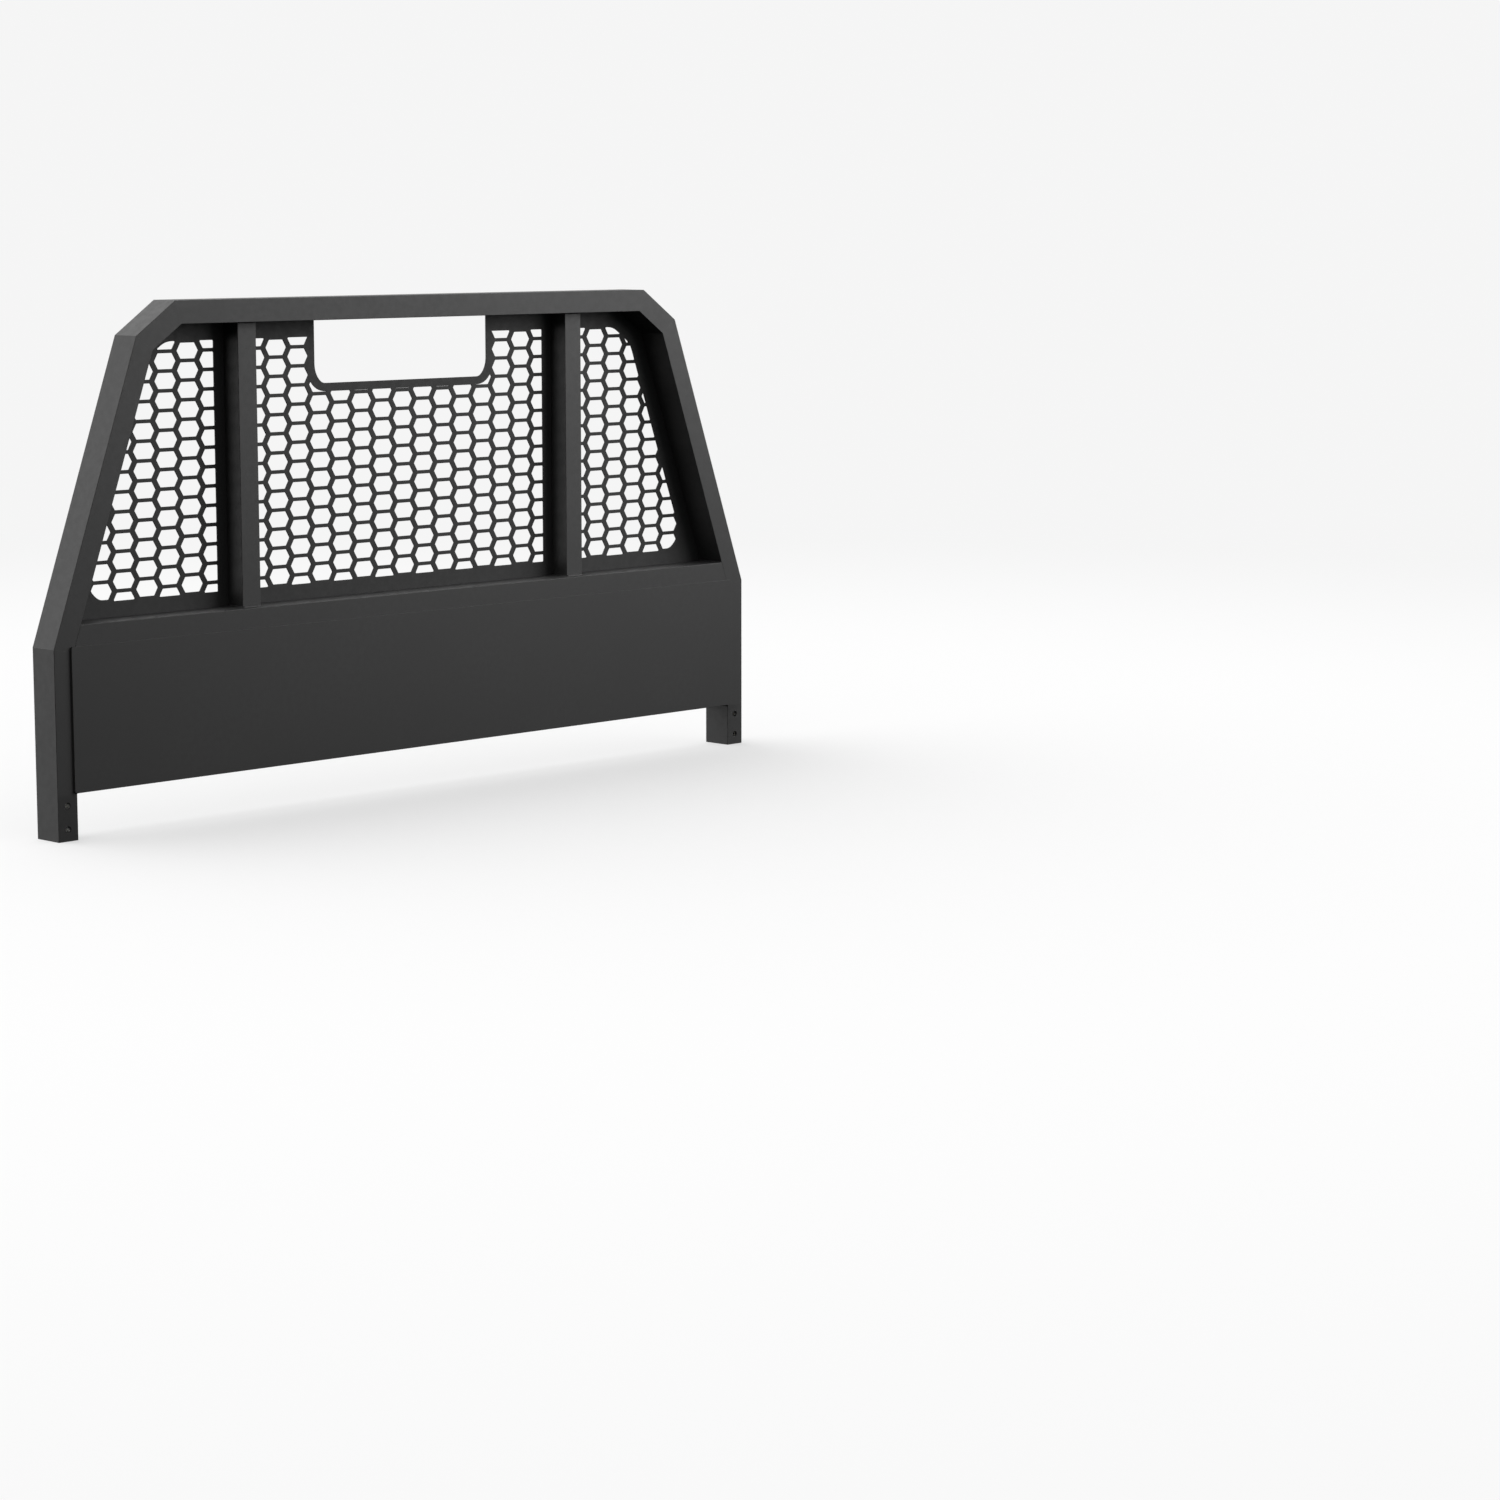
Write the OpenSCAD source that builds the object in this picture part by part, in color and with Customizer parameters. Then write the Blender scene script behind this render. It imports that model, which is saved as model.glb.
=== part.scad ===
// Headache rack for a flatbed truck: a welded tube frame with an elongated
// hexagon screen on its cab side and a solid plate over its lower half.
// X runs across the truck, +Y points to the cab and -Y to the load, +Z is up.
// The origin is midway across the rack, at foot level, midway through its depth.

/* [Frame outline] */
// Overall width across the two posts
rack_w = 2082; // [1900:1:2300]
// Overall height from the feet to the top of the beam
rack_h = 1135.5; // [1080:0.5:1250]
// Height at which the posts start to lean inwards
elbow_z = 411; // [360:1:430]
// Height at which each leaning post meets its corner piece
corner_z = 1062.5; // [1040:0.5:1070]
// Half width at the foot of the corner pieces
corner_x = 808; // [760:1:860]
// Half width at the head of the corner pieces
crown_x = 703; // [640:1:730]

/* [Tubes] */
// Width of every tube as seen from the load side
tube_w = 50.8; // [45:0.1:55]
// Depth of the frame tubes from load side to cab side
tube_d = 76.2; // [70:0.1:90]
// Wall thickness of every tube
tube_wall = 3; // [2.5:0.1:4]
// Distance from the middle of the rack to the middle of each upright
upright_x = 490.5; // [450:0.5:520]
// Top of the cross rail under the screen
sill_top = 459; // [445:1:470]
// Underside of the bottom rail, level with the truck deck
deck_z = 101.6; // [95:0.1:120]

/* [Screen] */
// Thickness of the screen sheet
sheet_t = 3; // [2:0.1:4]
// Height of one hexagon across its flats
hole_h = 34.3; // [30:0.1:37]
// Straight part that is added to the width of each hexagon
hole_stretch = 19.4; // [10:0.1:21]
// Distance between hexagons in one column
row_pitch = 42.5; // [42:0.1:45]
// Distance between neighbouring columns
col_pitch = 61.4; // [60:0.1:66]
// Number of hexagons in a full column
rows = 13; // [11:1:13]
// Height of the lowest edge of the pattern
field_z = 493; // [490:1:500]
// Border between the pattern and the outside of the frame
field_border = 91.5; // [80:0.5:100]
// Rounding of the pattern's outer corners
field_round = 50.8; // [20:0.1:60]
// Width of the plain band behind each upright
band_w = 105.4; // [90:0.1:120]
// Distance from the edge of the sheet to the outside of the frame
sheet_inset = 10; // [6:0.5:16]

/* [Window] */
// Width of the viewing window
window_w = 518; // [400:1:560]
// Height of the window's lower edge
window_z = 941.2; // [900:0.1:980]
// Width of the window's rounded corner
window_corner_w = 27; // [10:1:40]
// Height of the window's rounded corner
window_corner_h = 40; // [10:1:50]
// Plain rim that is left around the window
rim_w = 18.7; // [12:0.1:25]
// Rounding of the outside of that rim
rim_round = 47.6; // [20:0.1:60]

/* [Lower plate] */
// Width of the plate across the lower half
panel_w = 1998; // [1920:1:2040]
// Height of the plate's top edge
panel_top = 414.5; // [412:0.5:440]
// Thickness of the plate
panel_t = 4.8; // [3:0.1:6]

/* [Fasteners and feet] */
// Radius of the holes for the bolts that hold the rack to the bed
mount_hole_r = 6.75; // [5.5:0.05:8.5]
// Height of the lower mounting hole in each post
mount_hole_z = 25.4; // [22:0.1:30]
// Distance between the two mounting holes in a post
mount_pitch = 50.8; // [45:0.1:55]
// Outer radius of the sleeves that keep the posts from crushing
sleeve_r = 10; // [9.5:0.1:12]
// Radius of a screen screw's shank
screw_r = 3; // [2.5:0.1:4]
// Height of the button head
head_h = 3.3; // [2.5:0.1:4]
// Radius of the button head
head_r = 5.25; // [4.5:0.05:7]
// Thickness of the washer under each head
washer_t = 1.6; // [1:0.1:2]
// Thickness of the flange of the foot caps
cap_flange = 3; // [2:0.1:5]
// Depth that a foot cap reaches up into its post
cap_plug = 11; // [6:0.5:12]

/* [Hidden] */

STEEL = "#2c2d2f";
PLASTIC = "#1a1a1b";
HARDWARE = "#3a3b3d";
ZINC = "#a9adb0";

// Overlap that carries a cut cleanly past a surface
cut = 1;
half_w = rack_w / 2;

// Depths, counted so that the whole rack is centred on Y = 0
load_y = panel_t - (panel_t + tube_d + sheet_t + washer_t + head_h) / 2;
cab_y = load_y + tube_d;
sheet_y = cab_y + sheet_t;
washer_y = sheet_y + washer_t;

// Outside of the right half of the frame, from foot to crown, as [x, z]
OUTLINE = [[half_w, 0], [half_w, elbow_z], [corner_x, corner_z], [crown_x, rack_h], [0, rack_h]];

// Rivet nut: a sleeve that grips the tube wall, with its collar inside the tube
nut_clearance = 0.05;
nut_bore_r = screw_r + nut_clearance;
nut_body_r = 4.45;
nut_hole_r = nut_body_r + nut_clearance;
nut_length = 13;
nut_collar_r = 6.5;
nut_collar_t = 2.5;

screw_length = 14;
screw_hole_r = 3.3;
washer_r = 6;
socket_across_flats = 4;
socket_depth = 2;

// Places of the screen screws, as [x, z] along the middle of the tubes; the beam and the sill
// take six each
beam_screw_pitch = 230;
sill_screw_pitch = 327;
BEAM_SCREWS = [for (k = [-2.5 : 2.5]) [k * beam_screw_pitch, rack_h - tube_w / 2]];
SILL_SCREWS = [for (k = [-2.5 : 2.5]) [k * sill_screw_pitch, sill_top - tube_w / 2]];
SLANT_SCREWS = [for (t = [0.16, 0.5, 0.84]) along(1, t)];
CORNER_SCREWS = [along(2, 0.5)];
UPRIGHT_SCREWS = [for (t = [1/3, 2/3]) [upright_x, sill_top + t * (rack_h - tube_w - sill_top)]];
SIDE_SCREWS = concat(SLANT_SCREWS, CORNER_SCREWS, UPRIGHT_SCREWS);
SCREWS = concat(BEAM_SCREWS, SILL_SCREWS, SIDE_SCREWS, [for (p = SIDE_SCREWS) [-p[0], p[1]]]);

// Direction of outline stretch i, and the unit vector from it into the frame
function heading(i) = let (d = OUTLINE[i + 1] - OUTLINE[i]) d / norm(d);
function inward(i) = let (h = heading(i)) [-h[1], h[0]];

// Outline corner i moved into the frame by d, on the mitre line
function mitre(i, d) =
    let (a = inward(i - 1), b = inward(i))
    OUTLINE[i] + (a + b) * d / (1 + a * b);

// Point on the middle line of the tube on outline stretch i, at part t of its length
function along(i, t) = (1 - t) * mitre(i, tube_w / 2) + t * mitre(i + 1, tube_w / 2);

// Place on the leaning stretch, moved into the frame by d, at height z
function lean_x(d, z) =
    let (a = mitre(1, d), b = mitre(2, d))
    a[0] + (b[0] - a[0]) * (z - a[1]) / (b[1] - a[1]);

// Arc that rounds corner p between neighbours a and b, with radius r
function fillet(a, p, b, r, steps = 6) =
    let (u = (a - p) / norm(a - p), v = (b - p) / norm(b - p),
         half = acos(u * v) / 2,
         c = p + (u + v) / norm(u + v) * r / sin(half),
         s = p + u * r / tan(half),
         turn = (u[0] * v[1] - u[1] * v[0] > 0) ? 1 : -1,
         start = atan2(s[1] - c[1], s[0] - c[0]))
    [for (k = [0 : steps])
        let (angle = start - turn * (180 - 2 * half) * k / steps)
        c + r * [cos(angle), sin(angle)]];

// Draws its 2D child, laid out in X and Z, from depth y0 to depth y1
module slab(y0, y1) {
    translate([0, y1, 0]) rotate([90, 0, 0]) linear_extrude(y1 - y0) children();
}

// Round bars or holes along Y at places [x, z]
module pegs(places, r, y0, y1) {
    for (p = places)
        translate([p[0], y0, p[1]]) rotate([-90, 0, 0]) cylinder(h = y1 - y0, r = r, $fn = 48);
}

// Mirrors its child to the left side when side is -1
module on_side(side) {
    if (side < 0) mirror([1, 0, 0]) children();
    else children();
}

// Band of the frame between offsets d0 and d1 on outline stretch i, grown at both ends
module band(i, d0, d1, grow = 0) {
    foot = heading(i) * -grow;
    head = heading(i) * grow;
    polygon([mitre_or_end(i, d0) + foot, mitre_or_end(i + 1, d0) + head,
             mitre_or_end(i + 1, d1) + head, mitre_or_end(i, d1) + foot]);
}

// Outline corner i moved in by d, with a square cut at the foot above its cap
function mitre_or_end(i, d) = i == 0 ? [OUTLINE[0][0] - d, cap_flange] : mitre(i, d);

// Hollow frame tube on outline stretch i, with holes for rivet nuts at the screws
module frame_tube(i, screws) {
    difference() {
        slab(load_y, cab_y) band(i, 0, tube_w);
        slab(load_y + tube_wall, cab_y - tube_wall) band(i, tube_wall, tube_w - tube_wall, cut);
        pegs(screws, nut_hole_r, cab_y - tube_wall - cut, cab_y + cut);
    }
}

// Square tube that stands between z0 and z1 with its middle at x
module standing_tube(x, z0, z1, y0, y1, screws = []) {
    height = z1 - z0;
    difference() {
        translate([x - tube_w / 2, y0, z0]) cube([tube_w, y1 - y0, height]);
        translate([x - tube_w / 2 + tube_wall, y0 + tube_wall, z0 - cut])
            cube([tube_w - 2 * tube_wall, y1 - y0 - 2 * tube_wall, height + 2 * cut]);
        pegs(screws, nut_hole_r, y1 - tube_wall - cut, y1 + cut);
    }
}

// Places of the mounting holes in the right-hand post
MOUNT_HOLES = [for (k = [0, 1]) [half_w - tube_w / 2, mount_hole_z + k * mount_pitch]];

module post(side) {
    color(STEEL) on_side(side) difference() {
        frame_tube(0, []);
        pegs(MOUNT_HOLES, mount_hole_r, load_y - cut, cab_y + cut);
    }
}

module slant(side) {
    color(STEEL) on_side(side) frame_tube(1, SLANT_SCREWS);
}

module corner(side) {
    color(STEEL) on_side(side) frame_tube(2, CORNER_SCREWS);
}

// Beam between the two corner pieces
module top_beam() {
    module beam_face(d0, d1, grow = 0) {
        a = mitre(3, d0) + [grow, 0];
        b = mitre(3, d1) + [grow, 0];
        polygon([a, [-a[0], a[1]], [-b[0], b[1]], b]);
    }
    color(STEEL) difference() {
        slab(load_y, cab_y) beam_face(0, tube_w);
        slab(load_y + tube_wall, cab_y - tube_wall) beam_face(tube_wall, tube_w - tube_wall, cut);
        pegs(BEAM_SCREWS, nut_hole_r, cab_y - tube_wall - cut, cab_y + cut);
    }
}

// Cross rail under the screen, cut to fit between the two leaning posts
module sill_rail() {
    module rail_face(z0, z1, grow = 0) {
        x0 = lean_x(tube_w, z0) + grow;
        x1 = lean_x(tube_w, z1) + grow;
        polygon([[-x0, z0], [x0, z0], [x1, z1], [-x1, z1]]);
    }
    foot = sill_top - tube_w;
    color(STEEL) difference() {
        slab(load_y, cab_y) rail_face(foot, sill_top);
        slab(load_y + tube_wall, cab_y - tube_wall)
            rail_face(foot + tube_wall, sill_top - tube_wall, cut);
        pegs(SILL_SCREWS, nut_hole_r, cab_y - tube_wall - cut, cab_y + cut);
    }
}

// Rail at deck level between the two posts
module bottom_rail() {
    length = rack_w - 2 * tube_w;
    color(STEEL) difference() {
        translate([-length / 2, load_y, deck_z]) cube([length, tube_d, tube_w]);
        translate([-length / 2 - cut, load_y + tube_wall, deck_z + tube_wall])
            cube([length + 2 * cut, tube_d - 2 * tube_wall, tube_w - 2 * tube_wall]);
    }
}

// Upright in front of the screen, set back from the load side
module upright(side) {
    color(STEEL) on_side(side)
        standing_tube(upright_x, sill_top, rack_h - tube_w, cab_y - tube_w, cab_y, UPRIGHT_SCREWS);
}

// Stud behind the lower plate, level with the load side
module lower_stud(x) {
    color(STEEL)
        standing_tube(x, deck_z + tube_w, sill_top - tube_w, load_y, load_y + tube_w);
}

// One elongated hexagon, lying flat
module hexagon_hole() {
    shoulder_x = hole_h / 2 / sqrt(3) + hole_stretch / 2;
    tip_x = hole_h / sqrt(3) + hole_stretch / 2;
    top = hole_h / 2;
    polygon([[tip_x, 0], [shoulder_x, top], [-shoulder_x, top],
             [-tip_x, 0], [-shoulder_x, -top], [shoulder_x, -top]]);
}

// Every hexagon of the pattern; odd columns sit half a row higher
module hexagons() {
    last_col = ceil((half_w - field_border) / col_pitch);
    for (col = [-last_col : last_col], row = [0 : rows]) {
        odd = abs(col) % 2;
        translate([col * col_pitch, field_z + (row + (odd ? 0 : 0.5)) * row_pitch]) hexagon_hole();
    }
}

// Area of the right-hand pattern, with round corners on its outer side
module side_field() {
    top = field_z + rows * row_pitch;
    inner_x = upright_x + band_w / 2;
    foot = [lean_x(field_border, field_z), field_z];
    knee = mitre(2, field_border);
    crown = [mitre(3, field_border)[0], top];
    polygon(concat([[inner_x, top], [inner_x, field_z]],
                   fillet([inner_x, field_z], foot, knee, field_round),
                   fillet(foot, knee, crown, field_round, 3),
                   fillet(knee, crown, [inner_x, top], field_round, 3)));
}

// Area of the pattern between the uprights, less the rim around the window
module center_field() {
    top = field_z + rows * row_pitch;
    half = upright_x - band_w / 2;
    rim_x = window_w / 2 + rim_w;
    rim_z = window_z - rim_w;
    rim_top = top + rim_w;
    difference() {
        translate([-half, field_z]) square([2 * half, top - field_z]);
        polygon(concat([[-rim_x, rim_top]],
                       fillet([-rim_x, rim_top], [-rim_x, rim_z], [rim_x, rim_z], rim_round),
                       fillet([-rim_x, rim_z], [rim_x, rim_z], [rim_x, rim_top], rim_round),
                       [[rim_x, rim_top]]));
    }
}

// Viewing window; its top edge lies behind the beam, out of sight from the load side
module window_hole() {
    half = window_w / 2;
    hidden = 4;
    top = rack_h - tube_w + hidden;
    steps = 5;
    // A curve a little flatter than an ellipse
    power = 2 / 1.75;
    corner = [for (k = [0 : steps])
        let (angle = 90 * k / steps)
        [half - window_corner_w * (1 - pow(cos(angle), power)),
         window_z + window_corner_h * (1 - pow(sin(angle), power))]];
    mirrored = [for (k = [steps : -1 : 0]) [-corner[k][0], corner[k][1]]];
    polygon(concat([[half, top]], corner, mirrored, [[-half, top]]));
}

// Sheet on the cab side of the frame
module screen() {
    foot_z = sill_top - tube_w + sheet_inset;
    foot = [lean_x(sheet_inset, foot_z), foot_z];
    knee = mitre(2, sheet_inset);
    crown = mitre(3, sheet_inset);
    right = [foot, knee, crown];
    left = [for (k = [2 : -1 : 0]) [-right[k][0], right[k][1]]];
    color(STEEL) difference() {
        slab(cab_y, sheet_y) difference() {
            polygon(concat(right, left));
            intersection() {
                hexagons();
                union() {
                    center_field();
                    side_field();
                    mirror([1, 0]) side_field();
                }
            }
            window_hole();
        }
        pegs(SCREWS, screw_hole_r, cab_y - cut, sheet_y + cut);
    }
}

// Plate on the load side, from the bottom rail up to the sill
module lower_panel() {
    color(STEEL) translate([-panel_w / 2, load_y - panel_t, deck_z])
        cube([panel_w, panel_t, panel_top - deck_z]);
}

// Plastic cap in the open foot of a post
module foot_cap(side) {
    slack = 0.2;
    plug_w = tube_w - 2 * tube_wall - 2 * slack;
    plug_d = tube_d - 2 * tube_wall - 2 * slack;
    wall = 3;
    color(PLASTIC) on_side(side) translate([half_w - tube_w / 2, (load_y + cab_y) / 2, 0]) {
        difference() {
            union() {
                translate([-tube_w / 2, -tube_d / 2, 0]) cube([tube_w, tube_d, cap_flange]);
                translate([-plug_w / 2, -plug_d / 2, cap_flange / 2])
                    cube([plug_w, plug_d, cap_plug + cap_flange / 2]);
            }
            translate([-plug_w / 2 + wall, -plug_d / 2 + wall, cap_flange])
                cube([plug_w - 2 * wall, plug_d - 2 * wall, cap_plug + cut]);
        }
    }
}

// Sleeves inside the posts, around the mounting bolts
module mount_sleeves() {
    color(HARDWARE) for (side = [-1, 1]) on_side(side) difference() {
        pegs(MOUNT_HOLES, sleeve_r, load_y + tube_wall, cab_y - tube_wall);
        pegs(MOUNT_HOLES, mount_hole_r, load_y, cab_y);
    }
}

module screen_rivet_nuts() {
    grip_y = cab_y - tube_wall;
    color(ZINC) difference() {
        union() {
            pegs(SCREWS, nut_body_r, cab_y - nut_length, cab_y);
            pegs(SCREWS, nut_collar_r, grip_y - nut_collar_t, grip_y);
        }
        pegs(SCREWS, nut_bore_r, cab_y - nut_length - cut, cab_y + cut);
    }
}

// Button head with a hexagon socket, turned about Z
module screw() {
    flat_r = head_r * 0.55;
    dome = [for (angle = [15 : 15 : 75])
        [flat_r + (head_r - flat_r) * cos(angle), head_h * sin(angle)]];
    difference() {
        union() {
            rotate_extrude($fn = 48)
                polygon(concat([[0, 0], [head_r, 0]], dome, [[flat_r, head_h], [0, head_h]]));
            translate([0, 0, -screw_length])
                cylinder(h = screw_length + head_h / 2, r = screw_r, $fn = 48);
        }
        translate([0, 0, head_h - socket_depth])
            cylinder(h = socket_depth + cut, r = socket_across_flats / sqrt(3), $fn = 6);
    }
}

module screen_screws() {
    color(HARDWARE) for (p = SCREWS)
        translate([p[0], washer_y, p[1]]) rotate([-90, 0, 0]) screw();
}

module screen_washers() {
    color(HARDWARE) difference() {
        pegs(SCREWS, washer_r, sheet_y, washer_y);
        pegs(SCREWS, screw_hole_r, sheet_y - cut, washer_y + cut);
    }
}

post(-1);  // post_left
post(1);  // post_right
slant(-1);  // slant_left
slant(1);  // slant_right
corner(-1);  // corner_left
corner(1);  // corner_right
top_beam();
sill_rail();
bottom_rail();
upright(-1);  // upright_left
upright(1);  // upright_right
lower_stud(-upright_x);  // lower_stud_left
lower_stud(0);  // lower_stud_center
lower_stud(upright_x);  // lower_stud_right
screen();
lower_panel();
foot_cap(-1);  // foot_cap_left
foot_cap(1);  // foot_cap_right
mount_sleeves();
screen_rivet_nuts();
screen_screws();
screen_washers();
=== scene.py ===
"""Looks of a truck headache rack: powder-coated tube frame, hexagon screen and lower plate.

Everything is in metres and in the CAD frame: X runs across the rack, +Y points to the cab and
-Y to the load, and +Z is up. Places and sizes are read from the CAD nodes wherever they can be.
"""
import math
import random

import bmesh
import bpy
from mathutils import Matrix, Vector
from mathutils.geometry import delaunay_2d_cdt


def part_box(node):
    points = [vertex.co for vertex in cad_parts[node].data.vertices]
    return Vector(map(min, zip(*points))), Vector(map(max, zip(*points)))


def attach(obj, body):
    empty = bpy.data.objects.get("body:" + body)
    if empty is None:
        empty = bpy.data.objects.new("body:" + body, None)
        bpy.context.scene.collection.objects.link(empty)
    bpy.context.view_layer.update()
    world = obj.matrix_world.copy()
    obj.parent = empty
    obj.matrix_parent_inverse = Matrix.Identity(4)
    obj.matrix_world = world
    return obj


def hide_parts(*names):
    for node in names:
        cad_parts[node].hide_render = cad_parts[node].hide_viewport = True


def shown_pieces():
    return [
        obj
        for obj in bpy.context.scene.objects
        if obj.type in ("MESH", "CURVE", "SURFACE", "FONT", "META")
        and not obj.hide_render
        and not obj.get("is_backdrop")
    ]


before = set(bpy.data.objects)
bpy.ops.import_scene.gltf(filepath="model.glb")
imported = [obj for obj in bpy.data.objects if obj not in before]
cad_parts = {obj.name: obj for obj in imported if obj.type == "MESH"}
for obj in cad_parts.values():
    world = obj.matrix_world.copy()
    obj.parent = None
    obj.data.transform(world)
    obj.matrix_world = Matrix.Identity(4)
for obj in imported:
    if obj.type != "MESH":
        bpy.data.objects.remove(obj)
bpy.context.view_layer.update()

MM = 0.001
X, Y, Z = range(3)
RIGHT, LEFT = 1, -1
SMALLEST = 0.001 * MM


# ---------------------------------------------------------------- places read from the CAD nodes

def span(node, axis):
    """Lowest and highest value of a CAD node along an axis."""
    low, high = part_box(node)
    return low[axis], high[axis]


INNER_X, HALF_W = span("post_right", X)
FOOT_Z, ELBOW_Z = span("post_right", Z)
CORNER_X = span("corner_right", X)[1]
CORNER_Z = span("slant_right", Z)[1]
CROWN_X = span("top_beam", X)[1]
BEAM_Z, RACK_H = span("top_beam", Z)
LOAD_Y, CAB_Y = span("top_beam", Y)
SHEET_Y = span("screen", Y)[1]
WASHER_Y, HEAD_Y = span("screen_washers", Y)[1], span("screen_screws", Y)[1]
SILL_Z, SILL_TOP = span("sill_rail", Z)
RAIL_Z, RAIL_TOP = span("bottom_rail", Z)
TUBE_W = HALF_W - INNER_X
TUBE_D = CAB_Y - LOAD_Y
TUBE_WALL = span("mount_sleeves", Y)[0] - LOAD_Y

# Outside of the right half of the frame, from foot to crown, as (x, z)
OUTLINE = [Vector(p) for p in ((HALF_W, FOOT_Z), (HALF_W, ELBOW_Z), (CORNER_X, CORNER_Z),
                               (CROWN_X, RACK_H), (0, RACK_H))]


def heading(i):
    """Direction of outline stretch i, as (x, z)."""
    return (OUTLINE[i + 1] - OUTLINE[i]).normalized()


def frame_corner(i, inset):
    """Outline corner i moved into the frame by inset, on its mitre; the foot is cut square."""
    if i == 0:
        return Vector((HALF_W - inset, FOOT_Z))
    a = heading(i - 1).orthogonal()
    b = heading(i).orthogonal()
    return OUTLINE[i] + (a + b) * (inset / (1 + a.dot(b)))


def lean_x(inset, z):
    """Place on the leaning stretch, moved into the frame by inset, at height z."""
    a, b = frame_corner(1, inset), frame_corner(2, inset)
    return a.x + (b.x - a.x) * (z - a.y) / (b.y - a.y)


def with_neighbours(points):
    """Each point of a loop between the one before and the one after it."""
    return zip(points[-1:] + points[:-1], points, points[1:] + points[:1], strict=True)


def flat_loops(node, y):
    """Outlines, as (x, z) points, of a CAD node's flat faces at depth y, material on the left."""
    bm = bmesh.new()
    bm.from_mesh(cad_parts[node].data)
    bmesh.ops.remove_doubles(bm, verts=bm.verts, dist=SMALLEST)
    # A list keeps the mesh's own order, so that each run gives the same loops in the same order
    flat = [f for f in bm.faces if all(abs(v.co.y - y) < 10 * SMALLEST for v in f.verts)]
    is_flat = set(flat)
    follows = {}
    for face in flat:
        for corner in face.loops:
            if sum(f in is_flat for f in corner.edge.link_faces) == 1:
                follows[corner.vert] = corner.link_loop_next.vert
    loops = []
    while follows:
        vert = next(iter(follows))
        loop = []
        while vert in follows:
            loop.append(Vector((vert.co.x, vert.co.z)))
            vert = follows.pop(vert)
        loops.append(loop)
    bm.free()
    if area(max(loops, key=lambda p: abs(area(p)))) < 0:
        loops = [loop[::-1] for loop in loops]
    return loops


def area(points):
    """Signed area of a loop of (x, z) points, positive when it turns to the left."""
    return sum(a.cross(b) for _, a, b in with_neighbours(points)) / 2


def middles(loops, width):
    """Middles of those loops that are width wide, within a tenth, from left to right."""
    found = []
    for loop in loops:
        xs = [p.x for p in loop]
        zs = [p.y for p in loop]
        if abs(max(xs) - min(xs) - width) < width / 10:
            found.append(((max(xs) + min(xs)) / 2, (max(zs) + min(zs)) / 2))
    return sorted(found, key=lambda place: (round(place[0], 4), round(place[1], 4)))


WASHER_R = 6 * MM
SLEEVE_R = 10 * MM
SCREW_PLACES = middles(flat_loops("screen_washers", WASHER_Y), 2 * WASHER_R)
BOLT_PLACES = middles(flat_loops("mount_sleeves", LOAD_Y + TUBE_WALL), 2 * SLEEVE_R)


# ---------------------------------------------------------------- mesh tools

def loft(bm, loops, closed=False, cap_start=False, cap_end=False):
    """Joins loops of points, all of the same length, into a skin."""
    rings = [[bm.verts.new(p) for p in loop] for loop in loops]
    pairs = list(zip(rings, rings[1:], strict=False))
    if closed:
        pairs.append((rings[-1], rings[0]))
    count = len(rings[0])
    for a, b in pairs:
        for k in range(count):
            n = (k + 1) % count
            bm.faces.new((a[k], a[n], b[n], b[k]))
    if cap_start:
        bm.faces.new(rings[0][::-1])
    if cap_end:
        bm.faces.new(rings[-1])
    return rings


def arc_points(low, high, radius, steps):
    """Loop round the rectangle from low to high, with its corners rounded."""
    points = []
    for quarter, (x, y) in enumerate(((high[0], high[1]), (low[0], high[1]),
                                      (low[0], low[1]), (high[0], low[1]))):
        middle = Vector((x - math.copysign(radius, x - low[0] - SMALLEST),
                         y - math.copysign(radius, y - low[1] - SMALLEST)))
        for k in range(steps + 1):
            angle = math.pi / 2 * (quarter + k / steps)
            points.append(middle + radius * Vector((math.cos(angle), math.sin(angle))))
    return points


# Edges that turn by more than this many degrees are shaded sharp
CREASE = 32
WELD_CREASE = 60


def finished(name, bm, material, nodes=(), crease=CREASE):
    """Turns a bmesh into a piece of the rack: smooth where it is round, flat where it is flat."""
    bmesh.ops.recalc_face_normals(bm, faces=bm.faces)
    mesh = bpy.data.meshes.new(name)
    bm.to_mesh(mesh)
    bm.free()
    mesh.shade_smooth()
    mesh.materials.append(material)
    piece = bpy.data.objects.new(name, mesh)
    bpy.context.scene.collection.objects.link(piece)
    settle_normals(piece, crease)
    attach(piece, "root")
    if nodes:
        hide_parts(*nodes)
    return piece


def settle_normals(piece, crease):
    """Keeps large flat faces flat beside small round ones."""
    piece.data.set_sharp_from_angle(angle=math.radians(crease))
    weighted = piece.modifiers.new("weighted_normals", "WEIGHTED_NORMAL")
    weighted.keep_sharp = True
    weighted.weight = 100


# ---------------------------------------------------------------- node trees

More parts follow.
